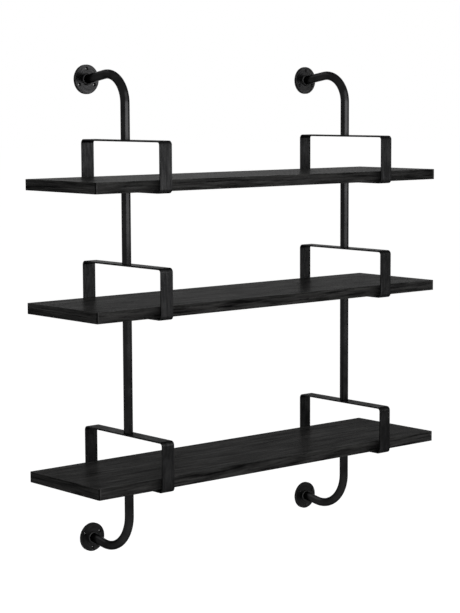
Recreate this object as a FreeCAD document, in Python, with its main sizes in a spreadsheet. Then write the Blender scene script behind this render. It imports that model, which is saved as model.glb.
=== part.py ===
"""Wall-hung pipe shelving unit: three boards in flat-bar loops on two upright pipe frames.

Frame of the part: the origin lies on the wall plane, midway between the four wall flanges.
+X runs along the boards, +Y points into the wall and +Z points up. Millimetres.
"""
import FreeCAD, Part
import math
import os
import Sketcher

Vector = FreeCAD.Vector

DIMENSIONS = {
    # boards
    "board_length": 1000,
    "board_depth": 250,
    "board_thickness": 24,
    "board_edge_ease": 0.8,
    "board_shift": 9,              # boards to the right of the middle between the frames
    "upper_pitch": 265,            # top board to middle board
    "lower_pitch": 367,            # middle board to bottom board
    # upright frames
    "frame_spacing": 650,          # left pipe axis to right pipe axis
    "tube_diameter": 20,
    "tube_wall": 2,
    "top_bend_radius": 62,         # of the tube's centre line
    "bottom_bend_radius": 80,
    "arm_slope": 9,                # degrees that the arm dips from the bend to the flange
    "top_rise": 129,               # top loop to the centre of the top flange
    "bottom_drop": 144.5,          # bottom loop to the centre of the bottom flange
    # flat-bar loops
    "strap_width": 32,
    "strap_thickness": 3.5,
    "strap_corner_radius": 9,      # outside of the bend
    "strap_edge_radius": 0.5,      # rolled edges of the flat bar
    "loop_headroom": 78.5,         # board's top face to the loop's top bar
    "front_gap": 18.5,             # board's front face to the loop's front leg
    "back_clearance": 0.5,         # board's back face to the loop's back leg
    "wall_clearance": 2,           # loop's back leg to the wall
    # wall flanges
    "flange_diameter": 64,
    "flange_thickness": 6,
    "flange_rim_radius": 1.2,
    "hole_circle_diameter": 46,
    "wall_hole_diameter": 4,
    "wall_sink_diameter": 7.5,
    "socket_depth": 2,             # recess that the tube's end stands in
    "weld_size": 3,
    "fit_clearance": 0.1,          # radial, round the tube and inside it
    # threaded plugs in the tubes' ends and the screws that hold the loops to them
    "plug_length": 16,
    "joint_screw_diameter": 6,
    "joint_head_diameter": 11.3,
    "joint_screw_length": 16,
    "joint_key_radius": 2.3,
    "joint_key_depth": 1.8,
    # wood screws that hold the boards
    "board_screw_diameter": 4,
    "board_head_diameter": 8,
    "board_screw_length": 20,
    "board_screw_offset": 70,      # from the loop's middle, to the front and to the back
    "board_key_radius": 1.7,
    "board_key_depth": 1.3,
    "pilot_spare_depth": 1,        # pilot hole beyond the screw's tip
    "screw_hole_clearance": 0.2,   # radial, screw in the strap
    "thread_clearance": 0.05,      # radial, screw in the plug or the board
    "screw_sink": 0.1,             # head below the strap's face
}

SHEET = "Dimensions"
SIDES = {"left": -1, "right": 1}
LEVELS = ["top", "middle", "bottom"]
HOLES_PER_FLANGE = 3
FLAT = 0.001                       # an edge shorter than this along X lies in one YZ plane
TURNED_DOWN = FreeCAD.Rotation(Vector(0, 1, 0), 180)

doc = FreeCAD.newDocument("PipeShelvingUnit")
kept = []


# ---------------------------------------------------------------- sizes

def make_sheet():
    sheet = doc.addObject("Spreadsheet::Sheet", SHEET)
    for row, (alias, value) in enumerate(DIMENSIONS.items(), start=1):
        sheet.set(f"A{row}", alias)
        sheet.set(f"B{row}", str(value))
        sheet.setAlias(f"B{row}", alias)
    doc.recompute()


def size(alias):
    """The sheet's cell, as an expression."""
    return f"{SHEET}.{alias}"


def total(*terms):
    return "(" + " + ".join(terms) + ")"


def less(first, *terms):
    return "(" + " - ".join((first,) + terms) + ")"


def half(term):
    return f"({term} / 2)"


inner_depth = total(size("front_gap"), size("board_depth"), size("back_clearance"))
inner_height = total(size("loop_headroom"), size("board_thickness"))
outer_depth = total(inner_depth, size("strap_thickness"), size("strap_thickness"))
outer_height = total(inner_height, size("strap_thickness"), size("strap_thickness"))
axis_to_wall = total(size("wall_clearance"), half(outer_depth))
flange_height = half(total(size("top_rise"), size("upper_pitch"), size("lower_pitch"),
                           outer_height, size("bottom_drop")))
board_back = total(size("wall_clearance"), size("strap_thickness"), size("back_clearance"))
board_middle = total(board_back, half(size("board_depth")))
bore_diameter = less(size("tube_diameter"), size("tube_wall"), size("tube_wall"))
socket_radius = total(half(size("tube_diameter")), size("fit_clearance"))
arm_cosine = f"cos({size('arm_slope')} * 1 deg)"
arm_sine = f"sin({size('arm_slope')} * 1 deg)"

board_top = {"top": less(flange_height, size("top_rise"), size("strap_thickness"),
                         size("loop_headroom"))}
board_top["middle"] = less(board_top["top"], size("upper_pitch"))
board_top["bottom"] = less(board_top["middle"], size("lower_pitch"))
board_bottom = {lv: less(board_top[lv], size("board_thickness")) for lv in LEVELS}
inner_top = {lv: total(board_top[lv], size("loop_headroom")) for lv in LEVELS}
loop_top = {lv: total(inner_top[lv], size("strap_thickness")) for lv in LEVELS}
loop_bottom = {lv: less(board_bottom[lv], size("strap_thickness")) for lv in LEVELS}
loop_middle = {lv: half(total(loop_top[lv], loop_bottom[lv])) for lv in LEVELS}


def side_x(side):
    return f"({SIDES[side]} * {size('frame_spacing')} / 2)"


# ---------------------------------------------------------------- sketches and features

def bind(thing, **expressions):
    for name, expression in expressions.items():
        thing.setExpression(name, expression)


def place(thing, x="0", y="0", z="0", rotation=None):
    """Puts a piece where three expressions say."""
    if rotation:
        thing.Placement = FreeCAD.Placement(Vector(), rotation)
    for axis, expression in zip("xyz", (x, y, z)):
        thing.setExpression(f".Placement.Base.{axis}", expression)


def keep(piece, label):
    piece.Label = label
    kept.append(piece)
    return piece


def new_body(label):
    return keep(doc.addObject("PartDesign::Body", label), label)


def new_sketch(body, name, plane, lift=None):
    """A sketch on one of the body's own planes, lifted along the plane's normal."""
    sketch = body.newObject("Sketcher::SketchObject", f"{body.Name}_{name}")
    origin_plane = [f for f in body.Origin.OriginFeatures if f.Role == plane][0]
    sketch.AttachmentSupport = [(origin_plane, "")]
    sketch.MapMode = "FlatFace"
    if lift:
        sketch.setExpression(".AttachmentOffset.Base.z", lift)
    return sketch


def new_feature(body, kind, name, **properties):
    feature = body.newObject(f"PartDesign::{kind}", f"{body.Name}_{name}")
    for key, value in properties.items():
        setattr(feature, key, value)
    return feature


def sized(sketch, kind, *places, value, expression):
    """A dimension in a sketch that follows an expression."""
    index = sketch.addConstraint(Sketcher.Constraint(kind, *places, value))
    sketch.setExpression(f"Constraints[{index}]", expression)


def add_circle(sketch, diameter, x=None, y=None):
    """A circle on the origin, or at x and y: each a (sign, expression) pair."""
    start = Vector(x[0] if x else 0, y[0] if y else 0, 0)
    circle = sketch.addGeometry(Part.Circle(start, Vector(0, 0, 1), 1))
    sized(sketch, "Diameter", circle, value=2, expression=diameter)
    if not x and not y:
        sketch.addConstraint(Sketcher.Constraint("Coincident", circle, 3, -1, 1))
        return
    for kind, offset in (("DistanceX", x), ("DistanceY", y)):
        if not offset:
            axis = -2 if kind == "DistanceX" else -1
            sketch.addConstraint(Sketcher.Constraint("PointOnObject", circle, 3, axis))
        elif offset[0] > 0:
            sized(sketch, kind, -1, 1, circle, 3, value=1, expression=offset[1])
        else:
            sized(sketch, kind, circle, 3, -1, 1, value=1, expression=offset[1])


def add_rectangle(sketch, width, height):
    """A rectangle about the origin."""
    corners = [Vector(-1, -1), Vector(1, -1), Vector(1, 1), Vector(-1, 1)]
    for i in range(4):
        sketch.addGeometry(Part.LineSegment(corners[i], corners[(i + 1) % 4]))
    for i in range(4):
        sketch.addConstraint(Sketcher.Constraint("Coincident", i, 2, (i + 1) % 4, 1))
        sketch.addConstraint(Sketcher.Constraint("Vertical" if i % 2 else "Horizontal", i))
    sketch.addConstraint(Sketcher.Constraint("Symmetric", 0, 1, 2, 1, -1, 1))
    sized(sketch, "DistanceX", 0, 1, 0, 2, value=2, expression=width)
    sized(sketch, "DistanceY", 1, 1, 1, 2, value=2, expression=height)


def add_rounded_rectangle(sketch, width, height, radius):
    """A rectangle about the origin with four round corners."""
    first = sketch.GeometryCount
    side, reach = 10, 12
    for turn in range(4):
        spin = FreeCAD.Rotation(Vector(0, 0, 1), 90 * turn)
        line = Part.LineSegment(spin.multVec(Vector(-side, -reach)),
                                spin.multVec(Vector(side, -reach)))
        circle = Part.Circle(spin.multVec(Vector(side, -side)), Vector(0, 0, 1), reach - side)
        begin = math.radians(-90 + 90 * turn)
        sketch.addGeometry(line)
        sketch.addGeometry(Part.ArcOfCircle(circle, begin, begin + math.pi / 2))
    lines = [first + 2 * turn for turn in range(4)]
    for turn, line in enumerate(lines):
        arc, following = line + 1, lines[(turn + 1) % 4]
        sketch.addConstraint(Sketcher.Constraint("Tangent", line, 2, arc, 1))
        sketch.addConstraint(Sketcher.Constraint("Tangent", arc, 2, following, 1))
        sketch.addConstraint(Sketcher.Constraint("Vertical" if turn % 2 else "Horizontal", line))
        if turn:
            sketch.addConstraint(Sketcher.Constraint("Equal", first + 1, arc))
    sketch.addConstraint(Sketcher.Constraint("Symmetric", first + 1, 3, first + 5, 3, -1, 1))
    sized(sketch, "Radius", first + 1, value=reach - side, expression=radius)
    sized(sketch, "DistanceX", lines[3], 1, lines[1], 1, value=2 * reach, expression=width)
    sized(sketch, "DistanceY", lines[0], 1, lines[2], 1, value=2 * reach, expression=height)


def drill(body, sketch, diameter, depth=None, sink=None, reverse=False):
    """Round holes at the sketch's circles, through everything or to a depth."""
    doc.recompute()
    hole = new_feature(body, "Hole", sketch.Name.split("_")[-1] + "_hole", Profile=sketch,
                       ThreadType="None", DrillPoint="Flat", Reversed=reverse)
    bind(hole, Diameter=diameter)
    if sink:
        hole.HoleCutType = "Countersink"
        hole.HoleCutCustomValues = True
        hole.HoleCutCountersinkAngle = 90
        bind(hole, HoleCutDiameter=sink)
    if depth:
        hole.DepthType = "Dimension"
        bind(hole, Depth=depth)
    else:
        hole.DepthType = "ThroughAll"
    return hole


# ---------------------------------------------------------------- boards

def make_board(level):
    """A square-edged board, drilled from below for its four screws."""
    board = new_body(f"{level}_shelf_board")
    outline = new_sketch(board, "outline", "XY_Plane")
    add_rectangle(outline, size("board_length"), size("board_depth"))
    slab = new_feature(board, "Pad", "slab", Profile=outline)
    bind(slab, Length=size("board_thickness"))
    doc.recompute()
    edges = [f"Edge{i + 1}" for i in range(len(slab.Shape.Edges))]
    eased = new_feature(board, "Chamfer", "eased_edges", Base=(slab, edges))
    bind(eased, Size=size("board_edge_ease"))
    pilots = new_sketch(board, "pilots", "XY_Plane")
    pilots.setExpression(".AttachmentOffset.Base.x", f"-{size('board_shift')}")
    pilots.setExpression(".AttachmentOffset.Base.y", less(board_middle, axis_to_wall))
    for across in SIDES.values():
        for along in (-1, 1):
            add_circle(pilots, size("board_screw_diameter"),
                       (across, half(size("frame_spacing"))),
                       (along, size("board_screw_offset")))
    drill(board, pilots, total(size("board_screw_diameter"), f"2 * {size('thread_clearance')}"),
          depth=total(less(size("board_screw_length"), size("strap_thickness")),
                      size("screw_sink"), size("pilot_spare_depth")), reverse=True)
    place(board, size("board_shift"), f"-{board_middle}", board_bottom[level])


# ---------------------------------------------------------------- flat-bar loops

def make_loop(side, level):
    """A closed ring of flat bar, with a screw hole in both bars and two for the board."""
    loop = new_body(f"{side}_{level}_strap_loop")
    ring = new_sketch(loop, "ring", "YZ_Plane")
    inner_radius = less(size("strap_corner_radius"), size("strap_thickness"))
    add_rounded_rectangle(ring, outer_depth, outer_height, size("strap_corner_radius"))
    add_rounded_rectangle(ring, inner_depth, inner_height, inner_radius)
    bar = new_feature(loop, "Pad", "bar", Profile=ring, SideType="Symmetric")
    bind(bar, Length=size("strap_width"))
    doc.recompute()
    edges = [f"Edge{i + 1}" for i, edge in enumerate(bar.Shape.Edges)
             if edge.BoundBox.XLength < FLAT]
    rolled = new_feature(loop, "Fillet", "rolled_edges", Base=(bar, edges))
    bind(rolled, Radius=size("strap_edge_radius"))
    screw_hole = total(size("joint_screw_diameter"), f"2 * {size('screw_hole_clearance')}")
    screw_sink = total(size("joint_head_diameter"), f"2 * {size('screw_hole_clearance')}")
    for name, lift, upward in (("upper", half(inner_height), True),
                               ("lower", f"-{half(inner_height)}", False)):
        joint = new_sketch(loop, name, "XY_Plane", lift)
        add_circle(joint, size("joint_screw_diameter"))
        drill(loop, joint, screw_hole, sink=screw_sink, reverse=upward)
    seats = new_sketch(loop, "seats", "XY_Plane", f"-{half(outer_height)}")
    for along in (-1, 1):
        add_circle(seats, size("board_screw_diameter"), None, (along, size("board_screw_offset")))
    drill(loop, seats, total(size("board_screw_diameter"), f"2 * {size('screw_hole_clearance')}"),
          depth=f"(1.5 * {size('strap_thickness')})", reverse=True,
          sink=total(size("board_head_diameter"), f"2 * {size('screw_hole_clearance')}"))
    place(loop, side_x(side), f"-{axis_to_wall}", loop_middle[level])


# ---------------------------------------------------------------- tubes

def tube_section(body):
    section = new_sketch(body, "section", "XY_Plane")
    add_circle(section, size("tube_diameter"))
    add_circle(section, bore_diameter)
    return section


def make_riser(side, name, low, high):
    """A straight tube between two loops."""
    riser = new_body(f"{side}_{name}_riser_pipe")
    tube = new_feature(riser, "Pad", "tube", Profile=tube_section(riser))
    bind(tube, Length=less(high, low))
    place(riser, side_x(side), f"-{axis_to_wall}", low)


def make_bent_pipe(side, name, radius, rise, height, rotation=None):
    """A tube that stands on a loop, bends over and dips back to its flange."""
    pipe = new_body(f"{side}_{name}_bent_pipe")
    path = new_sketch(pipe, "path", "YZ_Plane")
    turn, bend_height, arm_length = 60, 80, 60
    slope = math.radians(DIMENSIONS["arm_slope"])
    centre = Vector(turn, bend_height)
    bend_end = centre + turn * Vector(math.sin(slope), math.cos(slope))
    arm_end = bend_end + arm_length * Vector(math.cos(slope), -math.sin(slope))
    bend = Part.Circle(centre, Vector(0, 0, 1), turn)
    upright, arc, arm = range(3)
    path.addGeometry(Part.LineSegment(Vector(0, 0), Vector(0, bend_height)))
    path.addGeometry(Part.ArcOfCircle(bend, math.pi / 2 - slope, math.pi))
    path.addGeometry(Part.LineSegment(bend_end, arm_end))
    path.addConstraint(Sketcher.Constraint("Coincident", upright, 1, -1, 1))
    path.addConstraint(Sketcher.Constraint("Vertical", upright))
    path.addConstraint(Sketcher.Constraint("Tangent", upright, 2, arc, 2))
    path.addConstraint(Sketcher.Constraint("Tangent", arc, 1, arm, 1))
    sized(path, "Angle", arm, value=-slope, expression=f"-{size('arm_slope')}")
    sized(path, "Radius", arc, value=turn, expression=radius)
    sized(path, "DistanceY", -1, 1, arm, 2, value=arm_end.y,
          expression=less(rise, f"{size('socket_depth')} * {arm_sine}"))
    sized(path, "DistanceX", -1, 1, arm, 2, value=arm_end.x,
          expression=total(less(axis_to_wall, size("flange_thickness")),
                           f"{size('socket_depth')} * {arm_cosine}"))
    new_feature(pipe, "AdditivePipe", "tube", Profile=tube_section(pipe), Spine=(path, [""]))
    place(pipe, side_x(side), f"-{axis_to_wall}", height, rotation)


# ---------------------------------------------------------------- wall flanges

def make_flange(side, name, height, rotation=None):
    """A disc with a slanting recess for the tube's end and three countersunk holes."""
    flange = new_body(f"{side}_{name}_wall_flange")
    outline = new_sketch(flange, "outline", "XZ_Plane")
    add_circle(outline, size("flange_diameter"))
    disc = new_feature(flange, "Pad", "disc", Profile=outline)
    bind(disc, Length=size("flange_thickness"))
    doc.recompute()
    front = min(disc.Shape.Faces, key=lambda face: face.CenterOfMass.y)
    rim = [f"Edge{i + 1}" for i, edge in enumerate(disc.Shape.Edges)
           if edge.isSame(front.OuterWire.Edges[0])]
    rounded = new_feature(flange, "Fillet", "rim", Base=(disc, rim))
    bind(rounded, Radius=size("flange_rim_radius"))
    socket = new_sketch(flange, "socket", "XZ_Plane")
    tilt = FreeCAD.Rotation(Vector(-1, 0, 0), DIMENSIONS["arm_slope"])
    socket.AttachmentOffset = FreeCAD.Placement(Vector(), tilt)
    bind(socket, **{
        ".AttachmentOffset.Rotation.Angle": size("arm_slope"),
        ".AttachmentOffset.Base.y": f"-{size('socket_depth')} * {arm_sine}",
        ".AttachmentOffset.Base.z": less(size("flange_thickness"),
                                         f"{size('socket_depth')} * {arm_cosine}")})
    add_circle(socket, f"(2 * {socket_radius})")
    recess = new_feature(flange, "Pocket", "recess", Profile=socket, Reversed=True)
    bind(recess, Length=f"(2 * {size('flange_thickness')})")
    screws = new_sketch(flange, "screws", "XZ_Plane", size("flange_thickness"))
    add_circle(screws, size("wall_hole_diameter"), None, (1, half(size("hole_circle_diameter"))))
    hole = drill(flange, screws, size("wall_hole_diameter"), sink=size("wall_sink_diameter"))
    spread = new_feature(flange, "PolarPattern", "spread", Originals=[hole],
                         Occurrences=HOLES_PER_FLANGE)
    spread.Axis = ([f for f in flange.Origin.OriginFeatures if f.Role == "Y_Axis"][0], [""])
    flange.Tip = spread
    place(flange, side_x(side), "0", height, rotation)


def make_weld_ring(side, name, height, rotation=None):
    """The bead of weld in the corner between the slanting tube and its flange."""
    label = f"{side}_{name}_weld_ring"
    reach = f"(2 * {size('weld_size')})"
    torus = doc.addObject("Part::Torus", label + "_torus")
    bind(torus, Radius1=socket_radius, Radius2=size("weld_size"))
    place(torus, y=f"-{size('flange_thickness')}",
          rotation=FreeCAD.Rotation(Vector(1, 0, 0), 90))
    tube = doc.addObject("Part::Cylinder", label + "_tube")
    bind(tube, Radius=socket_radius, Height=f"(2 * {reach})")
    lean = FreeCAD.Rotation(Vector(1, 0, 0), 90 - DIMENSIONS["arm_slope"])
    place(tube, y=less(f"{reach} * {arm_cosine}", size("flange_thickness")),
          z=f"-{reach} * {arm_sine}", rotation=lean)
    bind(tube, **{".Placement.Rotation.Angle": f"90 - {size('arm_slope')}"})
    flange = doc.addObject("Part::Box", label + "_flange")
    side_length = size("flange_diameter")
    bind(flange, Length=side_length, Width=side_length, Height=side_length)
    place(flange, f"-{half(side_length)}", f"-{size('flange_thickness')}",
          f"-{half(side_length)}")
    front = doc.addObject("Part::Cut", label + "_front")
    front.Base, front.Tool = torus, flange
    ring = keep(doc.addObject("Part::Cut", label), label)
    ring.Base, ring.Tool = front, tube
    place(ring, side_x(side), "0", height, rotation)


# ---------------------------------------------------------------- plugs and screws

def make_plug(side, number, low):
    """A threaded plug inside a tube's end."""
    name = f"{side}_plug_{number}"
    slug = doc.addObject("Part::Cylinder", name + "_slug")
    bind(slug, Radius=less(half(bore_diameter), size("fit_clearance")), Height=size("plug_length"))
    bore = doc.addObject("Part::Cylinder", name + "_bore")
    bind(bore, Radius=total(half(size("joint_screw_diameter")), size("thread_clearance")),
         Height=size("plug_length"))
    plug = doc.addObject("Part::Cut", name)
    plug.Base, plug.Tool = slug, bore
    place(plug, side_x(side), f"-{axis_to_wall}", low)
    return plug


def make_screw(name, kind, key_sides, x, y, z, pointed=False, downward=False):
    """A countersunk screw: its head's face at z, its shank upward unless it is turned over."""
    diameter = size(f"{kind}_screw_diameter")
    head_depth = half(less(size(f"{kind}_head_diameter"), diameter))
    head = doc.addObject("Part::Cone", name + "_head")
    bind(head, Radius1=half(size(f"{kind}_head_diameter")), Radius2=half(diameter),
         Height=head_depth)
    tip_length = diameter if pointed else "0"
    shank = doc.addObject("Part::Cylinder", name + "_shank")
    bind(shank, Radius=half(diameter),
         Height=less(size(f"{kind}_screw_length"), head_depth, tip_length))
    place(shank, z=head_depth)
    solids = [head, shank]
    if pointed:
        point = doc.addObject("Part::Cone", name + "_point")
        bind(point, Radius1=half(diameter), Height=tip_length)
        point.Radius2 = 0
        place(point, z=less(size(f"{kind}_screw_length"), tip_length))
        solids.append(point)
    blank = doc.addObject("Part::MultiFuse", name + "_blank")
    blank.Shapes = solids
    key = doc.addObject("Part::Prism", name + "_key")
    key.Polygon = key_sides
    bind(key, Circumradius=size(f"{kind}_key_radius"), Height=size(f"{kind}_key_depth"))
    screw = doc.addObject("Part::Cut", name)
    screw.Base, screw.Tool = blank, key
    place(screw, x, y, z, FreeCAD.Rotation(Vector(1, 0, 0), 180) if downward else None)
    return screw


def make_group(label, members):
    group = keep(doc.addObject("Part::Compound", label), label)
    group.Links = members


def make_joint_fasteners(side):
    """Six plugs and six screws: above and below each loop."""
    plugs, screws = [], []
    for number, level in enumerate(LEVELS):
        plugs.append(make_plug(side, f"{number}_above", loop_top[level]))
        plugs.append(make_plug(side, f"{number}_below",
                               less(loop_bottom[level], size("plug_length"))))
        screws.append(make_screw(f"{side}_screw_{number}_up", "joint", 6, side_x(side),
                                 f"-{axis_to_wall}",
                                 total(inner_top[level], size("screw_sink"))))
        screws.append(make_screw(f"{side}_screw_{number}_down", "joint", 6, side_x(side),
                                 f"-{axis_to_wall}",
                                 less(board_bottom[level], size("screw_sink")), downward=True))
    make_group(f"{side}_pipe_end_plugs", plugs)
    make_group(f"{side}_joint_screws", screws)


def make_board_screws(level):
    """Four screws up into one board."""
    screws = []
    for side in SIDES:
        for number, sign in enumerate("-+"):
            y = f"(-{axis_to_wall} {sign} {size('board_screw_offset')})"
            screws.append(make_screw(f"{level}_{side}_board_screw_{number}", "board", 4,
                                     side_x(side), y,
                                     total(loop_bottom[level], size("screw_sink")),
                                     pointed=True))
    make_group(f"{level}_board_screws", screws)


# ---------------------------------------------------------------- the unit

def make_frame(side):
    for level in LEVELS:
        make_loop(side, level)
    make_riser(side, "upper", loop_top["middle"], loop_bottom["top"])
    make_riser(side, "lower", loop_top["bottom"], loop_bottom["middle"])
    for name, radius, rise, end, height, rotation in (
            ("top", size("top_bend_radius"), size("top_rise"), loop_top["top"],
             flange_height, None),
            ("bottom", size("bottom_bend_radius"), size("bottom_drop"), loop_bottom["bottom"],
             f"-{flange_height}", TURNED_DOWN)):
        make_bent_pipe(side, name, radius, rise, end, rotation)
        make_flange(side, name, height, rotation)
        make_weld_ring(side, name, height, rotation)
    make_joint_fasteners(side)


def check_document():
    doc.recompute()
    for thing in doc.Objects:
        if {"Invalid", "Error"} & set(thing.State):
            raise RuntimeError(f"{thing.Label}: {thing.State}")
    for piece in kept:
        if piece.Shape.isNull() or not piece.Shape.isValid() or not piece.Shape.Solids:
            raise RuntimeError(f"{piece.Label}: no valid solid")


def write_parts():
    os.makedirs("parts", exist_ok=True)
    for piece in kept:
        piece.Shape.exportStep(f"parts/{piece.Label}.step")
        box = piece.Shape.BoundBox
        print(f"{piece.Label:28s} solids {len(piece.Shape.Solids)}  volume {piece.Shape.Volume:12.1f}"
              f"  x {box.XMin:8.2f} {box.XMax:8.2f}  y {box.YMin:8.2f} {box.YMax:8.2f}"
              f"  z {box.ZMin:8.2f} {box.ZMax:8.2f}")


make_sheet()
for board_level in LEVELS:
    make_board(board_level)
for frame_side in SIDES:
    make_frame(frame_side)
for board_level in LEVELS:
    make_board_screws(board_level)
check_document()
write_parts()
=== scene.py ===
"""Dresses the wall-hung pipe shelving unit: black-stained boards and satin black steel.

Metres, in the part's own frame: the origin on the wall plane between the four flanges, +X along the
boards, +Y into the wall and +Z up.
"""
import math

import bmesh
import bpy
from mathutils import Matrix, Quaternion, Vector


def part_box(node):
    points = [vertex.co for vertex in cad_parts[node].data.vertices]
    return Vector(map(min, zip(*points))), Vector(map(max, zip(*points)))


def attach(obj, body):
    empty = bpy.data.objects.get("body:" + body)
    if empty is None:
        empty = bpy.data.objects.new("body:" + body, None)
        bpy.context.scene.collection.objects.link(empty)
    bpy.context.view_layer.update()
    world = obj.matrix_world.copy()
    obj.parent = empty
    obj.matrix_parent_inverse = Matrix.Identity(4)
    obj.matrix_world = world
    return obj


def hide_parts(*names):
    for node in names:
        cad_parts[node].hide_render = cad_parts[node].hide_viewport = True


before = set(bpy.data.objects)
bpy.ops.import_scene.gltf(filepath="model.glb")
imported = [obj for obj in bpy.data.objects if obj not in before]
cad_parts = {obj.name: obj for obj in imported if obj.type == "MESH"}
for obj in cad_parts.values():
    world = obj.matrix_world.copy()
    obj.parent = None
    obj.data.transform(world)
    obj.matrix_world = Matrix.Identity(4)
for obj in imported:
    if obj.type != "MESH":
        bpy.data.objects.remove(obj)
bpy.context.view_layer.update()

bl_info = {
    "name": "Pipe Shelving Unit",
    "version": (1, 0, 0),
    "blender": (4, 5, 0),
    "location": "View3D > Sidebar > Shelf",
    "description": "Dresses the wall-hung pipe shelving unit and sets it in a soft studio",
    "category": "Object",
}

LEVELS = ("top", "middle", "bottom")
SIDES = ("left", "right")
ENDS = ("top", "bottom")
MM = 0.001
FULL_TURN = 2 * math.pi
WHITE = (1.0, 1.0, 1.0, 1.0)
NOISE_BAND = (0.3, 0.7)     # most of a noise texture's values lie in here


# ---------------------------------------------------------------- settings

class ShelfWoodSettings(bpy.types.PropertyGroup):
    """The boards: black stain over open-grained wood."""
    edge_radius: bpy.props.FloatProperty(
        name="Edge Radius", description="Rounding of the board's sanded edges",
        default=1.0 * MM, min=0.1 * MM, max=6 * MM, unit="LENGTH")
    stain_dark: bpy.props.FloatVectorProperty(
        name="Stain in the Pores", description="Colour where the stain has gathered",
        default=(0.0020, 0.0020, 0.00205), size=3, min=0, max=1, subtype="COLOR")
    stain_light: bpy.props.FloatVectorProperty(
        name="Stain on the Ridges", description="Colour of the hard summer wood between the pores",
        default=(0.0262, 0.0259, 0.0254), size=3, min=0, max=1, subtype="COLOR")
    ring_spacing: bpy.props.FloatProperty(
        name="Ring Spacing", description="Distance from one year ring to the next",
        default=4.2 * MM, min=0.5 * MM, max=20 * MM, unit="LENGTH")
    ring_waviness: bpy.props.FloatProperty(
        name="Ring Waviness", description="How far the rings wander along the board",
        default=11 * MM, min=0, max=60 * MM, unit="LENGTH")
    lipping: bpy.props.FloatProperty(
        name="Lipping", description="Thickness of the strip glued across each end",
        default=5 * MM, min=0, max=40 * MM, unit="LENGTH")
    grain_relief: bpy.props.FloatProperty(
        name="Grain Relief", description="Depth of the brushed grain",
        default=0.12 * MM, min=0, max=2 * MM, unit="LENGTH")


class ShelfCoatSettings(bpy.types.PropertyGroup):
    """The steel: a satin black powder coat."""
    coat_dark: bpy.props.FloatVectorProperty(
        name="Coat", description="Colour of the powder coat",
        default=(0.0085, 0.0085, 0.0087), size=3, min=0, max=1, subtype="COLOR")
    coat_light: bpy.props.FloatVectorProperty(
        name="Coat, Rubbed", description="Colour of the coat where it is rubbed or thin",
        default=(0.0260, 0.0260, 0.0264), size=3, min=0, max=1, subtype="COLOR")
    peel_size: bpy.props.FloatProperty(
        name="Orange Peel Size", description="Distance between the bumps of the baked powder",
        default=1.6 * MM, min=0.2 * MM, max=10 * MM, unit="LENGTH")
    peel_relief: bpy.props.FloatProperty(
        name="Orange Peel Relief", description="Height of the bumps of the baked powder",
        default=0.035 * MM, min=0, max=1 * MM, unit="LENGTH")
    streak_width: bpy.props.FloatProperty(
        name="Streak Width", description="Width of the rolled streaks along the flat bar",
        default=3.2 * MM, min=0.5 * MM, max=15 * MM, unit="LENGTH")
    turning_pitch: bpy.props.FloatProperty(
        name="Turning Pitch", description="Distance between the lathe's rings on the flanges",
        default=3.0 * MM, min=0.2 * MM, max=15 * MM, unit="LENGTH")


class ShelfWeldSettings(bpy.types.PropertyGroup):
    """The round weld where a pipe leaves its flange."""
    ripples: bpy.props.IntProperty(
        name="Ripples", description="Ripples in one round of weld", default=26, min=8, max=80)
    ripple_depth: bpy.props.FloatProperty(
        name="Ripple Depth", description="Share of the bead's size that the ripples rise and fall",
        default=0.10, min=0, max=0.5, subtype="FACTOR")
    arm_slope: bpy.props.FloatProperty(
        name="Arm Slope", description="How far the pipe's arm leans from square to the wall",
        default=math.radians(9), min=0, max=math.radians(45), subtype="ANGLE")


class ShelfStageSettings(bpy.types.PropertyGroup):
    """Floor, light and camera."""
    floor_drop: bpy.props.FloatProperty(
        name="Floor Drop", description="Floor below the middle of the unit",
        default=1.5, min=0.6, max=5, unit="LENGTH")
    ambient: bpy.props.FloatProperty(
        name="Ambient", description="Brightness of the white room",
        default=0.52, min=0, max=2)
    key_power: bpy.props.FloatProperty(
        name="Key Light", description="Power of the softbox in front",
        default=82, min=0, max=2000, unit="POWER")
    fill_power: bpy.props.FloatProperty(
        name="Fill Light", description="Power of the light beside the camera, without a sheen",
        default=42, min=0, max=2000, unit="POWER")
    sheen_power: bpy.props.FloatProperty(
        name="Sheen Lights", description="Power of the lights that only show as a sheen",
        default=45, min=0, max=2000, unit="POWER")
    lens: bpy.props.FloatProperty(
        name="Lens", description="Focal length, the sensor's long side being 36 mm",
        default=106.5, min=10, max=400)


SETTINGS = {"shelf_wood": ShelfWoodSettings, "shelf_coat": ShelfCoatSettings,
            "shelf_weld": ShelfWeldSettings, "shelf_stage": ShelfStageSettings}


# ---------------------------------------------------------------- nodes

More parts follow.
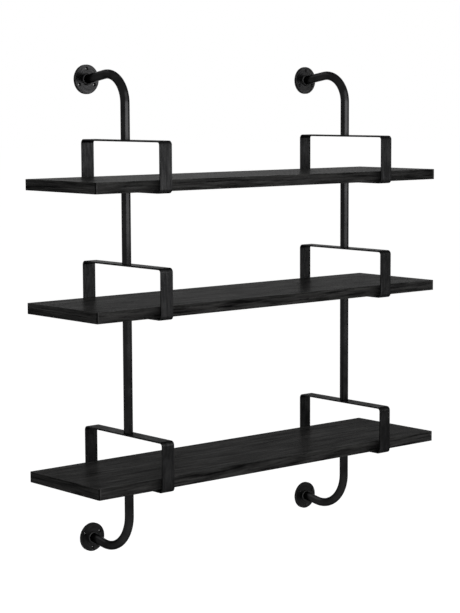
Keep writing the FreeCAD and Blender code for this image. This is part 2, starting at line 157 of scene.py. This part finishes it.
class NodeBench:
    """A node tree with short ways to add and join nodes."""

    MIX_FACTOR, MIX_LOW, MIX_HIGH, MIX_RESULT = 0, 6, 7, 2      # a colour Mix node's sockets

    def __init__(self, tree):
        self.tree = tree

    def add(self, kind, **settings):
        node = self.tree.nodes.new(kind)
        for key, value in settings.items():
            setattr(node, key, value)
        return node

    def feed(self, socket, value):
        """Joins an output to the socket, or writes a plain value on it."""
        if isinstance(value, bpy.types.NodeSocket):
            self.tree.links.new(value, socket)
        else:
            socket.default_value = value

    def math(self, operation, *values, clamp=False):
        node = self.add("ShaderNodeMath", operation=operation, use_clamp=clamp)
        for socket, value in zip(node.inputs, values):
            self.feed(socket, value)
        return node.outputs[0]

    def vector_math(self, operation, *values):
        node = self.add("ShaderNodeVectorMath", operation=operation)
        for socket, value in zip(node.inputs, values):
            self.feed(socket, value)
        return node.outputs["Value" if operation == "LENGTH" else "Vector"]

    def scale(self, vector, factor):
        node = self.add("ShaderNodeVectorMath", operation="SCALE")
        self.feed(node.inputs[0], vector)
        self.feed(node.inputs["Scale"], factor)
        return node.outputs["Vector"]

    def split(self, vector):
        """A vector's three parts."""
        node = self.add("ShaderNodeSeparateXYZ")
        self.feed(node.inputs[0], vector)
        return node.outputs

    def join(self, *parts):
        """A vector of the given parts, and 0 where one is missing."""
        node = self.add("ShaderNodeCombineXYZ")
        for socket, part in zip(node.inputs, parts):
            self.feed(socket, part)
        return node.outputs[0]

    def noise(self, vector, scale=1.0, detail=2.0, roughness=0.5, colour=False):
        node = self.add("ShaderNodeTexNoise", noise_dimensions="3D")
        for name, value in (("Vector", vector), ("Scale", scale), ("Detail", detail),
                            ("Roughness", roughness)):
            self.feed(node.inputs[name], value)
        return node.outputs["Color" if colour else "Fac"]

    def remap(self, value, from_low, from_high, to_low=0.0, to_high=1.0):
        """Carries one range over to another, and stops at its ends."""
        node = self.add("ShaderNodeMapRange", clamp=True)
        for name, amount in (("Value", value), ("From Min", from_low), ("From Max", from_high),
                             ("To Min", to_low), ("To Max", to_high)):
            self.feed(node.inputs[name], amount)
        return node.outputs["Result"]

    def mix(self, factor, low, high):
        """Between two colours."""
        node = self.add("ShaderNodeMix", data_type="RGBA")
        for index, value in ((self.MIX_FACTOR, factor), (self.MIX_LOW, low),
                             (self.MIX_HIGH, high)):
            self.feed(node.inputs[index], value)
        return node.outputs[self.MIX_RESULT]

    def group(self, tree, **values):
        node = self.add("ShaderNodeGroup", node_tree=tree)
        for name, value in values.items():
            self.feed(node.inputs[name.replace("_", " ")], value)
        return node.outputs

    def place(self, location=(0, 0, 0), rotation=(0, 0, 0)):
        """The piece's own coordinates, shifted and turned."""
        node = self.add("ShaderNodeMapping")
        self.feed(node.inputs["Vector"], self.add("ShaderNodeTexCoord").outputs["Object"])
        node.inputs["Location"].default_value = location
        node.inputs["Rotation"].default_value = rotation
        return node.outputs["Vector"]


def opaque(colour):
    return (*colour, 1.0)


def new_group(name, inputs, outputs):
    """An empty shader group: the bench on it, the given inputs and the outputs to feed."""
    tree = bpy.data.node_groups.new(name, "ShaderNodeTree")
    for label, kind in inputs.items():
        tree.interface.new_socket(name=label, in_out="INPUT", socket_type=kind)
    for label in outputs:
        tree.interface.new_socket(name=label, in_out="OUTPUT", socket_type="NodeSocketFloat")
    bench = NodeBench(tree)
    return bench, bench.add("NodeGroupInput").outputs, bench.add("NodeGroupOutput").inputs


# Waves a metre of each part of the wood's figure: along the board, across it and through it.
WOOD_WAVES = {"ragged": (16.0, 210.0, 210.0), "faint": (5.0, 70.0, 70.0),
              "streaks": (12.0, 165.0, 165.0), "fibres": (13.0, 430.0, 430.0),
              "pores": (95.0, 1500.0, 1500.0), "clouds": (5.0, 60.0, 60.0)}
# How the rings wander: waves a metre, and the share of the waviness.
WOOD_DRIFTS = (((2.4, 11.0, 11.0), 1.0), ((8.5, 46.0, 46.0), 0.3))
LIPPING_STRETCH = (12.0, 0.05, 1.0)     # turns the grain of the strip across each end
RING_RAGGEDNESS = 0.8                   # in ring widths
SUMMER_SHARPNESS = 2.2                  # the higher, the later in the year summer wood starts
FAINT_BAND = (0.34, 0.62)               # noise, from no rings to full ones
PORE_BAND = (0.42, 0.2)                 # distance from a pore's middle, from shut to open
SPRING_BAND = (0.55, 0.1)               # share of the year, from no pores to all of them


def wood_figure_group():
    """Year rings round a far-off heart, with long fibres and open pores between them."""
    bench, given, made = new_group(
        "Wood figure",
        {"Vector": "NodeSocketVector", "Ring Spacing": "NodeSocketFloat",
         "Waviness": "NodeSocketFloat", "Lipping": "NodeSocketFloat"},
        ("Rings", "Streaks", "Fibres", "Pores", "Clouds"))
    lipped = bench.join(*(bench.remap(given["Lipping"], 0.0, 1.0, 1.0, stretch)
                          for stretch in LIPPING_STRETCH))
    vector = bench.vector_math("MULTIPLY", given["Vector"], lipped)

    def waves(part, source):
        return bench.vector_math("MULTIPLY", source, WOOD_WAVES[part])

    warped = vector
    for stretch, share in WOOD_DRIFTS:
        drift = bench.noise(bench.vector_math("MULTIPLY", vector, stretch), colour=True)
        drift = bench.vector_math("SUBTRACT", drift, (0.5, 0.5, 0.5))
        across = bench.vector_math("MULTIPLY", drift, (0.0, share, share))
        warped = bench.vector_math("ADD", warped, bench.scale(across, given["Waviness"]))
    from_heart = bench.vector_math(
        "LENGTH", bench.vector_math("MULTIPLY", warped, (0.0, 1.0, 1.0)))
    years = bench.math("DIVIDE", from_heart, given["Ring Spacing"])
    ragged = bench.noise(waves("ragged", vector), detail=3.0)
    years = bench.math("ADD", years, bench.math("MULTIPLY", ragged, RING_RAGGEDNESS))
    season = bench.math("FRACT", years)
    summer = bench.math("POWER", season, SUMMER_SHARPNESS)
    faint = bench.noise(waves("faint", vector))
    rings = bench.math("MULTIPLY", summer, bench.remap(faint, *FAINT_BAND))
    streaks = bench.noise(waves("streaks", warped), detail=3.0, roughness=0.6)
    fibres = bench.noise(waves("fibres", vector), detail=4.0, roughness=0.62)
    cells = bench.add("ShaderNodeTexVoronoi", feature="F1")
    bench.feed(cells.inputs["Vector"], waves("pores", vector))
    cells.inputs["Scale"].default_value = 1.0
    open_pore = bench.remap(cells.outputs["Distance"], *PORE_BAND)
    spring = bench.remap(season, *SPRING_BAND)
    clouds = bench.noise(waves("clouds", vector), detail=3.0, roughness=0.6)
    for name, value in (("Rings", rings), ("Streaks", streaks), ("Fibres", fibres),
                        ("Pores", bench.math("MULTIPLY", open_pore, spring)),
                        ("Clouds", clouds)):
        bench.feed(made[name], value)
    return bench.tree


COAT_CLOUD_WAVES, DUST_WAVES = 26.0, 1900.0     # waves a metre
DUST_BAND = (0.66, 0.74)                        # only the noise's peaks are dust


def powder_coat_group():
    """Baked powder: orange peel, slow changes in gloss and fine specks of dust."""
    bench, given, made = new_group(
        "Powder coat", {"Vector": "NodeSocketVector", "Peel Size": "NodeSocketFloat"},
        ("Peel", "Clouds", "Specks"))
    peel_scale = bench.math("DIVIDE", 1.0, given["Peel Size"])
    peel = bench.noise(given["Vector"], peel_scale, detail=3.0, roughness=0.55)
    clouds = bench.noise(given["Vector"], COAT_CLOUD_WAVES, detail=4.0, roughness=0.6)
    dust = bench.noise(given["Vector"], DUST_WAVES, roughness=0.7)
    bench.feed(made["Peel"], peel)
    bench.feed(made["Clouds"], clouds)
    bench.feed(made["Specks"], bench.remap(dust, *DUST_BAND))
    return bench.tree


ROLLED_WAVES = 34.0     # waves a metre along a flat bar


def rolled_streak_group():
    """Streaks that the rolling mill leaves along a flat bar, under the coat."""
    bench, given, made = new_group(
        "Rolled streaks", {"Vector": "NodeSocketVector", "Width": "NodeSocketFloat"},
        ("Streaks",))
    across, *along = bench.split(given["Vector"])
    drawn_out = bench.join(bench.math("DIVIDE", across, given["Width"]),
                           *(bench.math("MULTIPLY", part, ROLLED_WAVES) for part in along))
    bench.feed(made["Streaks"], bench.noise(drawn_out, detail=4.0, roughness=0.62))
    return bench.tree


LATHE_DRIFT = 1.6       # how much a ring changes on its way round


def turning_group():
    """Rings that the lathe leaves round the middle of a turned face in the XZ plane."""
    bench, given, made = new_group(
        "Lathe turning",
        {"Vector": "NodeSocketVector", "Pitch": "NodeSocketFloat"}, ("Rings",))
    flat = bench.vector_math("MULTIPLY", given["Vector"], (1.0, 0.0, 1.0))
    radius = bench.vector_math("LENGTH", flat)
    outward = bench.join(bench.math("DIVIDE", radius, given["Pitch"]))
    turned = bench.scale(bench.vector_math("NORMALIZE", flat), LATHE_DRIFT)
    place = bench.vector_math("ADD", outward, turned)
    bench.feed(made["Rings"], bench.noise(place, detail=3.0, roughness=0.6))
    return bench.tree


RUB_WAVES = 210.0           # waves a metre
RUB_BAND = (0.35, 0.68)     # noise, from a whole edge to a rubbed one


def edge_rub_group():
    """Where an edge is rubbed: strongest on the edge, broken up along it."""
    bench, given, made = new_group(
        "Edge rub", {"Vector": "NodeSocketVector", "Nearness": "NodeSocketFloat"}, ("Rub",))
    broken = bench.noise(given["Vector"], RUB_WAVES, detail=4.0, roughness=0.65)
    worn = bench.math("MULTIPLY", given["Nearness"], bench.remap(broken, *RUB_BAND))
    bench.feed(made["Rub"], worn)
    return bench.tree


def group_named(name, maker):
    """A shared group is built once."""
    return bpy.data.node_groups.get(name) or maker()


# ---------------------------------------------------------------- materials

def new_material(name, **constants):
    """A material with its shader: the bench on it, and the shader's inputs."""
    material = bpy.data.materials.new(name)
    material.use_nodes = True
    bench = NodeBench(material.node_tree)
    shader = next(n for n in material.node_tree.nodes if n.type == "BSDF_PRINCIPLED")
    for socket, value in constants.items():
        shader.inputs[socket.replace("_", " ")].default_value = value
    return material, bench, shader.inputs


def add_relief(bench, height, distance, normal=None):
    """Bumps of the given depth, on top of another relief if there is one."""
    bump = bench.add("ShaderNodeBump")
    bench.feed(bump.inputs["Height"], height)
    if normal:
        bench.feed(bump.inputs["Normal"], normal)
    bump.inputs["Distance"].default_value = distance
    return bump.outputs["Normal"]


def inset_from(bench, vector, half_size):
    """How far a point of a box about the origin lies in from its nearest face along each axis."""
    return [bench.math("SUBTRACT", half, bench.math("ABSOLUTE", part))
            for part, half in zip(bench.split(vector), half_size)]


# What lifts the stain towards its light colour: the noise's own range, and what it adds.
STAIN_PARTS = {"Streaks": (0.34, 0.68, -0.16, 0.42), "Fibres": (*NOISE_BAND, 0.0, 0.34),
               "Clouds": (0.32, 0.68, -0.12, 0.26)}
RING_SHARE, PORE_SHARE = 0.32, 0.5
RUB_SHARE, STRIP_SHARE, CORNER_SHARE = 0.25, 0.45, 1.6
WOOD_ROUGHNESS = (0.36, 0.28)       # in the pores, on the ridges
WOOD_SHEEN = 0.0009                 # so the stain only shines at a low angle
# Distances in from an edge, over which the rub, the dark corner and the strip's edge fade out.
RUB_FADE, CORNER_FADE, STRIP_FADE = (0.0, 1.6 * MM), (1.2 * MM, 2.2 * MM), (0.6 * MM, 1.2 * MM)
RIDGE_HEIGHT = 0.5                  # against a pore's depth of 1


def stained_wood(level, low, high, heart, tilt):
    """Black-stained board: stain dark in the pores, a little lighter on the ridges and edges."""
    wood = bpy.context.scene.shelf_wood
    material, bench, shader = new_material(
        f"Black stained wood, {level} board", Specular_IOR_Level=WOOD_SHEEN, IOR=1.45,
        Diffuse_Roughness=0.6)
    centre = (low + high) / 2
    own = bench.place(-centre)
    along, aside, above = inset_from(bench, own, (high - low) / 2)
    lipping = bench.math("LESS_THAN", along, wood.lipping)
    figure = bench.group(group_named("Wood figure", wood_figure_group),
                         Vector=bench.place(-centre - Vector(heart), tilt),
                         Ring_Spacing=wood.ring_spacing, Waviness=wood.ring_waviness,
                         Lipping=lipping)
    edge = bench.math("MINIMUM", bench.math("MAXIMUM", along, aside), above)
    near = bench.remap(bench.math("MAXIMUM", edge, bench.math("MINIMUM", along, aside)),
                       *RUB_FADE, 1.0, 0.0)
    rub = bench.group(group_named("Edge rub", edge_rub_group), Vector=own, Nearness=near)["Rub"]
    corner = bench.remap(bench.math("MAXIMUM", along, aside), *CORNER_FADE, 1.0, 0.0)
    strip = bench.math("MULTIPLY", lipping, bench.remap(aside, *STRIP_FADE, 1.0, 0.0))
    ridge = bench.math("MULTIPLY", figure["Rings"], RING_SHARE)
    for name, band in STAIN_PARTS.items():
        ridge = bench.math("ADD", ridge, bench.remap(figure[name], *band))
    ridge = bench.math("SUBTRACT", ridge, bench.math("MULTIPLY", figure["Pores"], PORE_SHARE),
                       clamp=True)
    lit = bench.math("ADD", ridge, bench.math("MULTIPLY", rub, RUB_SHARE))
    lit = bench.math("ADD", lit, bench.math("MULTIPLY", strip, STRIP_SHARE))
    lit = bench.math("SUBTRACT", lit, bench.math("MULTIPLY", corner, CORNER_SHARE), clamp=True)
    bench.feed(shader["Base Color"], bench.mix(lit, opaque(wood.stain_dark),
                                               opaque(wood.stain_light)))
    bench.feed(shader["Roughness"], bench.remap(ridge, 0.0, 1.0, *WOOD_ROUGHNESS))
    height = bench.math("SUBTRACT", bench.math("MULTIPLY", ridge, RIDGE_HEIGHT), figure["Pores"])
    bench.feed(shader["Normal"], add_relief(bench, height, wood.grain_relief))
    return material


COAT_RIM_PAINTED_SHADE = (0.45, 0.45, 0.45, 1.0)    # painted shade: dims the coat where it is seen at a low angle, as if dark surroundings were reflected there
CLOUD_SHARE, SPECK_SHARE, SPECK_ROUGHNESS = 0.4, 0.5, 0.15
GLOSS_DRIFT, MARK_GLOSS = 0.07, 0.05        # how far clouds and marks move the roughness
BAR_CONTRAST, BAR_DEPTH = 0.4, 0.06 * MM
FLANGE_CONTRAST, FLANGE_DEPTH = 0.3, 0.2 * MM
STRAP_RUB_WIDTH = 0.9 * MM


def coated_steel(name, roughness, painted_light_scale=1.0, nearness=None, marks=None):
    """Satin black powder coat on steel. The marks are the metal's own, seen through the coat."""
    coat = bpy.context.scene.shelf_coat
    material, bench, shader = new_material(name, Metallic=1.0, Specular_Tint=COAT_RIM_PAINTED_SHADE)
    own = bench.place()
    powder = bench.group(group_named("Powder coat", powder_coat_group), Vector=own,
                         Peel_Size=coat.peel_size)
    tone = bench.remap(powder["Clouds"], *NOISE_BAND, 0.0, CLOUD_SHARE)
    tone = bench.math("ADD", tone, bench.math("MULTIPLY", powder["Specks"], SPECK_SHARE),
                      clamp=True)
    gloss = bench.remap(powder["Clouds"], *NOISE_BAND, roughness - GLOSS_DRIFT,
                        roughness + GLOSS_DRIFT)
    normal = add_relief(bench, powder["Peel"], coat.peel_relief)
    if marks:
        shade, contrast, height, depth = marks(bench, own, coat)
        tone = bench.math("ADD", tone, bench.remap(shade, *NOISE_BAND, -contrast, contrast),
                          clamp=True)
        gloss = bench.math("ADD", gloss, bench.remap(shade, *NOISE_BAND, MARK_GLOSS, -MARK_GLOSS))
        normal = add_relief(bench, height, depth, normal=normal)
    if nearness:
        rub = bench.group(group_named("Edge rub", edge_rub_group), Vector=own,
                          Nearness=nearness(bench, own))["Rub"]
        tone = bench.math("MAXIMUM", tone, rub)
    # The coat's colours are scaled for each part: painted light and shade, as lighter or darker
    # copies of one coat.
    dark, light = (opaque(painted_light_scale * Vector(colour))
                   for colour in (coat.coat_dark, coat.coat_light))
    bench.feed(shader["Base Color"], bench.mix(tone, dark, light))
    dull = bench.math("MULTIPLY", powder["Specks"], SPECK_ROUGHNESS)
    bench.feed(shader["Roughness"], bench.math("ADD", gloss, dull))
    bench.feed(shader["Normal"], normal)
    return material


def bar_marks(bench, vector, coat):
    """The streaks of a rolled bar: their shade and contrast, then their height and depth."""
    streaks = bench.group(group_named("Rolled streaks", rolled_streak_group), Vector=vector,
                          Width=coat.streak_width)["Streaks"]
    return streaks, BAR_CONTRAST, streaks, BAR_DEPTH


def flange_marks(bench, vector, coat):
    """The lathe's rings round each flange's middle, on either side and at either end."""
    low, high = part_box("right_top_wall_flange")
    folded = bench.vector_math("ABSOLUTE", vector)
    centred = bench.vector_math("SUBTRACT", folded, (low + high) / 2)
    rings = bench.group(group_named("Lathe turning", turning_group), Vector=centred,
                        Pitch=coat.turning_pitch)["Rings"]
    return rings, FLANGE_CONTRAST, rings, FLANGE_DEPTH


def strap_edges(bench, vector):
    """1 on the rolled edges of the flat bars, on either side of the unit."""
    low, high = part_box("right_top_strap_loop")
    middle, half_width = (low.x + high.x) / 2, (high.x - low.x) / 2
    aside = bench.math("SUBTRACT", bench.math("ABSOLUTE", bench.split(vector)[0]), middle)
    return bench.remap(bench.math("ABSOLUTE", aside), half_width - STRAP_RUB_WIDTH, half_width)


PLUG_STEEL = (0.55, 0.54, 0.52)
PLUG_WAVES = (300.0, 300.0, 5200.0)     # waves a metre, so the rings lie square to the pipe
PLUG_SHADE, PLUG_DULLING = 0.7, 0.12    # in the rings: share of the colour, added roughness
OXIDE_DARK, OXIDE_LIGHT = (0.012, 0.012, 0.013), (0.034, 0.032, 0.031)
OXIDE_WAVES, OXIDE_GRIT_WAVES = 480.0, 1400.0                   # waves a metre
OXIDE_BAND, OXIDE_ROUGHNESS = (0.35, 0.7), (0.34, 0.5)
FINE_RELIEF = 0.02 * MM


def turned_steel(name, colour, roughness):
    """Bare steel with the fine rings that the lathe leaves."""
    material, bench, shader = new_material(name, Metallic=1.0)
    own = bench.place()
    rings = bench.noise(bench.vector_math("MULTIPLY", own, PLUG_WAVES), detail=3.0)
    shade = bench.remap(rings, *NOISE_BAND, 0.8, 1.0)
    bench.feed(shader["Base Color"], bench.mix(shade, opaque([c * PLUG_SHADE for c in colour]),
                                               opaque(colour)))
    bench.feed(shader["Roughness"], bench.remap(rings, *NOISE_BAND, roughness,
                                                roughness + PLUG_DULLING))
    bench.feed(shader["Normal"], add_relief(bench, rings, FINE_RELIEF))
    return material


def blacked_screw(name):
    """Black oxide on a steel screw: a dull sheen with a brown-grey bloom."""
    material, bench, shader = new_material(name, Metallic=1.0)
    own = bench.place()
    bloom = bench.remap(bench.noise(own, OXIDE_WAVES, detail=4.0, roughness=0.6), *OXIDE_BAND)
    bench.feed(shader["Base Color"], bench.mix(bloom, opaque(OXIDE_DARK), opaque(OXIDE_LIGHT)))
    bench.feed(shader["Roughness"], bench.remap(bloom, 0.0, 1.0, *OXIDE_ROUGHNESS))
    grit = bench.noise(own, OXIDE_GRIT_WAVES, detail=3.0)
    bench.feed(shader["Normal"], add_relief(bench, grit, FINE_RELIEF))
    return material


# ---------------------------------------------------------------- pieces

def put_object(name, data):
    """An object of its own in the scene."""
    thing = bpy.data.objects.new(name, data)
    bpy.context.scene.collection.objects.link(thing)
    return thing


def put_mesh(name, bm, material):
    """An object from a finished mesh."""
    mesh = bpy.data.meshes.new(name)
    bm.to_mesh(mesh)
    bm.free()
    mesh.materials.append(material)
    return put_object(name, mesh)


def put_piece(name, bm, material, slot, *nodes):
    """A smooth piece that rides on the unit and stands for its CAD nodes."""
    for face in bm.faces:
        face.smooth = True
    piece = put_mesh(name, bm, material)
    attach(piece, "root")
    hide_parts(*nodes)
    return piece


def dress(node_name, material):
    """A CAD node keeps its shape and gets a finish."""
    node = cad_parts[node_name]
    for material_slot in node.material_slots:
        material_slot.material = material


def eased_board(low, high, radius):
    """A board with its edges sanded round."""
    bm = bmesh.new()
    bmesh.ops.create_cube(bm, size=1.0)
    bmesh.ops.scale(bm, vec=high - low, verts=bm.verts)
    bmesh.ops.translate(bm, vec=(low + high) / 2, verts=bm.verts)
    bmesh.ops.bevel(bm, geom=bm.edges[:], offset=radius, offset_type="OFFSET", segments=4,
                    profile=0.5, affect="EDGES", material=-1)
    return bm


WELD_SWELLS = ((0.08, 3, 0.7), (0.05, 7, 2.1))     # size, waves a round, start angle
RIPPLE_SHARPNESS = 0.7


def weld_bead(centre, inner_radius, bead_size, weld):
    """A rippled bead in the corner between a flange and the slanting arm that leaves it."""
    arc_steps, steps_per_ripple = 8, 6
    corner = centre + Vector((inner_radius, 0, 0))
    bm = bmesh.new()
    section = [bm.verts.new(corner)]
    for step in range(arc_steps + 1):
        turn = math.pi / 2 * step / arc_steps
        outward = Vector((math.cos(turn), -math.sin(turn), 0))
        section.append(bm.verts.new(corner + bead_size * outward))
    edges = [bm.edges.new((section[i - 1], section[i])) for i in range(len(section))]
    bmesh.ops.spin(bm, geom=section + edges, cent=centre, axis=(0, 1, 0), dvec=(0, 0, 0),
                   angle=FULL_TURN, steps=weld.ripples * steps_per_ripple, use_merge=True,
                   use_normal_flip=False, use_duplicate=False)
    for vert in bm.verts:
        aside = vert.co - centre
        around = math.atan2(aside.z, aside.x)
        outward = Vector((math.cos(around), 0, math.sin(around)))
        foot = centre + inner_radius * outward
        ripple = 1 - abs(math.sin(around * weld.ripples / 2)) ** RIPPLE_SHARPNESS
        swell = sum(size * math.sin(waves * around + start) for size, waves, start in WELD_SWELLS)
        vert.co = foot + (vert.co - foot) * (1 - weld.ripple_depth * ripple + swell)
        vert.co.z += math.copysign(math.tan(weld.arm_slope), centre.z) * (centre.y - vert.co.y)
    bmesh.ops.recalc_face_normals(bm, faces=bm.faces)
    return bm


class SHELF_OT_boards(bpy.types.Operator):
    """Make the three boards with sanded edges and a figure of their own"""
    bl_idname = "shelf.boards"
    bl_label = "Boards"

    # The heart of the tree from each board's middle, and how the board lies to it.
    HEARTS = {"top": (0.10, -0.020, -0.075), "middle": (-0.06, 0.045, -0.062),
              "bottom": (0.02, 0.030, -0.085)}
    TILTS = {"top": (0.0, 0.020, -0.030), "middle": (0.0, -0.016, 0.022),
             "bottom": (0.0, 0.012, 0.016)}

    def execute(self, context):
        for level in LEVELS:
            node = f"{level}_shelf_board"
            low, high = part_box(node)
            material = stained_wood(level, low, high, self.HEARTS[level], self.TILTS[level])
            bm = eased_board(low, high, context.scene.shelf_wood.edge_radius)
            piece = put_piece(f"{level}_board", bm, material, "board_wood", node)
            flat = piece.modifiers.new("Flat faces", "WEIGHTED_NORMAL")
            flat.weight = 100
        return {"FINISHED"}


class SHELF_OT_loops(bpy.types.Operator):
    """Coat the six flat-bar loops"""
    bl_idname = "shelf.loops"
    bl_label = "Flat-Bar Loops"

    def execute(self, context):
        # painted shade: the flat bars get a darker copy of the coat
        material = coated_steel("Satin black coat, flat bar", roughness=0.42, painted_light_scale=0.77,
                                nearness=strap_edges, marks=bar_marks)
        for side in SIDES:
            for level in LEVELS:
                dress(f"{side}_{level}_strap_loop", material)
        return {"FINISHED"}


class SHELF_OT_pipes(bpy.types.Operator):
    """Coat the straight and the bent pipes"""
    bl_idname = "shelf.pipes"
    bl_label = "Pipes"

    def execute(self, context):
        material = coated_steel("Satin black coat, pipe", roughness=0.23)
        for side in SIDES:
            for name in ("upper_riser", "lower_riser", "top_bent", "bottom_bent"):
                dress(f"{side}_{name}_pipe", material)
        return {"FINISHED"}


class SHELF_OT_flanges(bpy.types.Operator):
    """Coat the four wall flanges and weld the pipes to them"""
    bl_idname = "shelf.flanges"
    bl_label = "Wall Flanges"

    def execute(self, context):
        # painted shade: the flanges get a slightly darker copy of the coat
        coat = coated_steel("Satin black coat, flange", roughness=0.35, painted_light_scale=0.95,
                            marks=flange_marks)
        # painted highlight: the weld gets a lighter copy of the coat, so its bead shines brighter
        weld_coat = coated_steel("Satin black coat, weld", roughness=0.3, painted_light_scale=1.6)
        for side in SIDES:
            for end in ENDS:
                dress(f"{side}_{end}_wall_flange", coat)
                node = f"{side}_{end}_weld_ring"
                low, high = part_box(node)
                centre = (low + high) / 2
                centre.y = high.y
                bead_size = high.y - low.y
                inner_radius = (high.x - low.x) / 2 - bead_size
                bm = weld_bead(centre, inner_radius, bead_size, context.scene.shelf_weld)
                put_piece(f"{side}_{end}_weld", bm, weld_coat, "weld_coat", node)
        return {"FINISHED"}


class SHELF_OT_fasteners(bpy.types.Operator):
    """Finish the screws and the plugs in the pipe ends"""
    bl_idname = "shelf.fasteners"
    bl_label = "Screws and Plugs"

    def execute(self, context):
        joint_black = blacked_screw("Black oxide, joint screw")
        board_black = blacked_screw("Black oxide, board screw")
        steel = turned_steel("Turned steel, plug", PLUG_STEEL, roughness=0.24)
        for side in SIDES:
            dress(f"{side}_joint_screws", joint_black)
            dress(f"{side}_pipe_end_plugs", steel)
        for level in LEVELS:
            dress(f"{level}_board_screws", board_black)
        return {"FINISHED"}


# ---------------------------------------------------------------- stage

def seen_ray(bench):
    """1 for rays that show the background: straight, mirrored or through glass."""
    path = bench.add("ShaderNodeLightPath").outputs
    seen = bench.math("MAXIMUM", path["Is Camera Ray"], path["Is Glossy Ray"])
    return bench.math("MAXIMUM", seen, path["Is Transmission Ray"])


def make_world(ambient):
    """A white room, which lights the unit only as much as it should."""
    world = bpy.data.worlds.new("White room")
    world.use_nodes = True
    bpy.context.scene.world = world
    bench = NodeBench(world.node_tree)
    background = next(n for n in world.node_tree.nodes if n.type == "BACKGROUND")
    background.inputs["Color"].default_value = WHITE
    bench.feed(background.inputs["Strength"], bench.remap(seen_ray(bench), 0, 1, ambient, 1.0))


def floor_material(ambient):
    """Pale floor: white where nothing shades it, and clear from below."""
    paper, paler = 0.9, 0.92
    material, bench, shader = new_material("Pale floor", Roughness=1.0, Specular_IOR_Level=0.0)
    grit = bench.remap(bench.noise(bench.place(), scale=3.0, detail=3.0), *NOISE_BAND)
    bench.feed(shader["Base Color"], bench.mix(grit, opaque([paper] * 3), opaque([paler] * 3)))
    shader["Emission Color"].default_value = WHITE
    missing = 1.0 - paper * ambient
    bench.feed(shader["Emission Strength"], bench.math("MULTIPLY", seen_ray(bench), missing))
    output = next(n for n in material.node_tree.nodes if n.type == "OUTPUT_MATERIAL")
    surface = output.inputs["Surface"].links[0].from_socket
    clear = bench.add("ShaderNodeBsdfTransparent")
    blend = bench.add("ShaderNodeMixShader")
    bench.feed(blend.inputs[0], bench.add("ShaderNodeNewGeometry").outputs["Backfacing"])
    bench.feed(blend.inputs[1], surface)
    bench.feed(blend.inputs[2], clear.outputs[0])
    bench.feed(output.inputs["Surface"], blend.outputs[0])
    return material


FLOOR_HALF_SIZE = 60.0


def make_floor(stage):
    bm = bmesh.new()
    bmesh.ops.create_grid(bm, x_segments=1, y_segments=1, size=FLOOR_HALF_SIZE)
    bmesh.ops.translate(bm, vec=(0, 0, -stage.floor_drop), verts=bm.verts)
    floor = put_mesh("floor", bm, floor_material(stage.ambient))


def aim(thing, location, target, roll=0.0):
    """Stands a lamp or camera at a place and turns it to a point."""
    thing.location = location
    thing.rotation_mode = "QUATERNION"
    look = (Vector(target) - Vector(location)).to_track_quat("-Z", "Y")
    thing.rotation_quaternion = look @ Quaternion((0, 0, 1), roll)


def add_softbox(name, power, width, height, location, target):
    """A rectangle of light that the camera doesn't see."""
    lamp = bpy.data.lights.new(name, "AREA")
    lamp.shape = "RECTANGLE"
    lamp.size, lamp.size_y = width, height
    lamp.energy = power
    softbox = put_object(name, lamp)
    softbox.visible_camera = False
    aim(softbox, location, target)
    return softbox


class SHELF_OT_stage(bpy.types.Operator):
    """Set up the floor, the soft light and the camera"""
    bl_idname = "shelf.stage"
    bl_label = "Stage"

    # width, height, place, target
    KEY = (4.4, 0.7, (0.2, -2.7, 0.38), (0.2, -0.14, 0.3))
    FILL = (0.5, 1.4, (-2.1, -2.6, 1.1), (0.0, -0.14, 0.0))
    # share of the power, width, height, place, target
    SHEENS = {"sheen_above": (0.85, 3.6, 1.3, (0.4, -2.6, 1.45), (0.2, -0.14, 0.5)),
              "sheen_behind": (0.6, 3.2, 1.6, (0.0, 2.2, 2.0), (0.0, -0.1, 0.5))}
    CAMERA_PLACE = (-2.6790, -3.2169, 0.4613)
    CAMERA_FORWARD = (0.64774, 0.75342, -0.11306)
    CAMERA_ROLL = math.radians(-0.24)
    SENSOR = 36     # mm, the long side

    def execute(self, context):
        stage = context.scene.shelf_stage
        make_world(stage.ambient)
        make_floor(stage)
        add_softbox("key_softbox", stage.key_power, *self.KEY)
        add_softbox("fill_light", stage.fill_power, *self.FILL).visible_glossy = False
        for name, (share, *setting) in self.SHEENS.items():
            add_softbox(name, share * stage.sheen_power, *setting).visible_diffuse = False
        lens = bpy.data.cameras.new("camera")
        lens.lens = stage.lens
        lens.sensor_width = self.SENSOR
        camera = put_object("camera", lens)
        place = Vector(self.CAMERA_PLACE)
        aim(camera, place, place + Vector(self.CAMERA_FORWARD), self.CAMERA_ROLL)
        context.scene.camera = camera
        context.scene.view_settings.view_transform = "Standard"
        return {"FINISHED"}


OPERATORS = (SHELF_OT_boards, SHELF_OT_loops, SHELF_OT_pipes, SHELF_OT_flanges,
             SHELF_OT_fasteners, SHELF_OT_stage)


class SHELF_PT_sidebar(bpy.types.Panel):
    """Lists the pieces and their settings"""
    bl_idname = "SHELF_PT_sidebar"
    bl_label = "Pipe Shelving Unit"
    bl_space_type = "VIEW_3D"
    bl_region_type = "UI"
    bl_category = "Shelf"

    def draw(self, context):
        for name, settings in SETTINGS.items():
            box = self.layout.box()
            for prop in settings.__annotations__:
                box.prop(getattr(context.scene, name), prop)
        for operator in OPERATORS:
            self.layout.operator(operator.bl_idname)


def register():
    for cls in (*SETTINGS.values(), *OPERATORS, SHELF_PT_sidebar):
        bpy.utils.register_class(cls)
    for name, settings in SETTINGS.items():
        setattr(bpy.types.Scene, name, bpy.props.PointerProperty(type=settings))


def unregister():
    for name in SETTINGS:
        delattr(bpy.types.Scene, name)
    for cls in reversed((*SETTINGS.values(), *OPERATORS, SHELF_PT_sidebar)):
        bpy.utils.unregister_class(cls)


def main():
    register()
    for step in (bpy.ops.shelf.boards, bpy.ops.shelf.loops, bpy.ops.shelf.pipes,
                 bpy.ops.shelf.flanges, bpy.ops.shelf.fasteners, bpy.ops.shelf.stage):
        step()


if __name__ == "__main__":
    main()
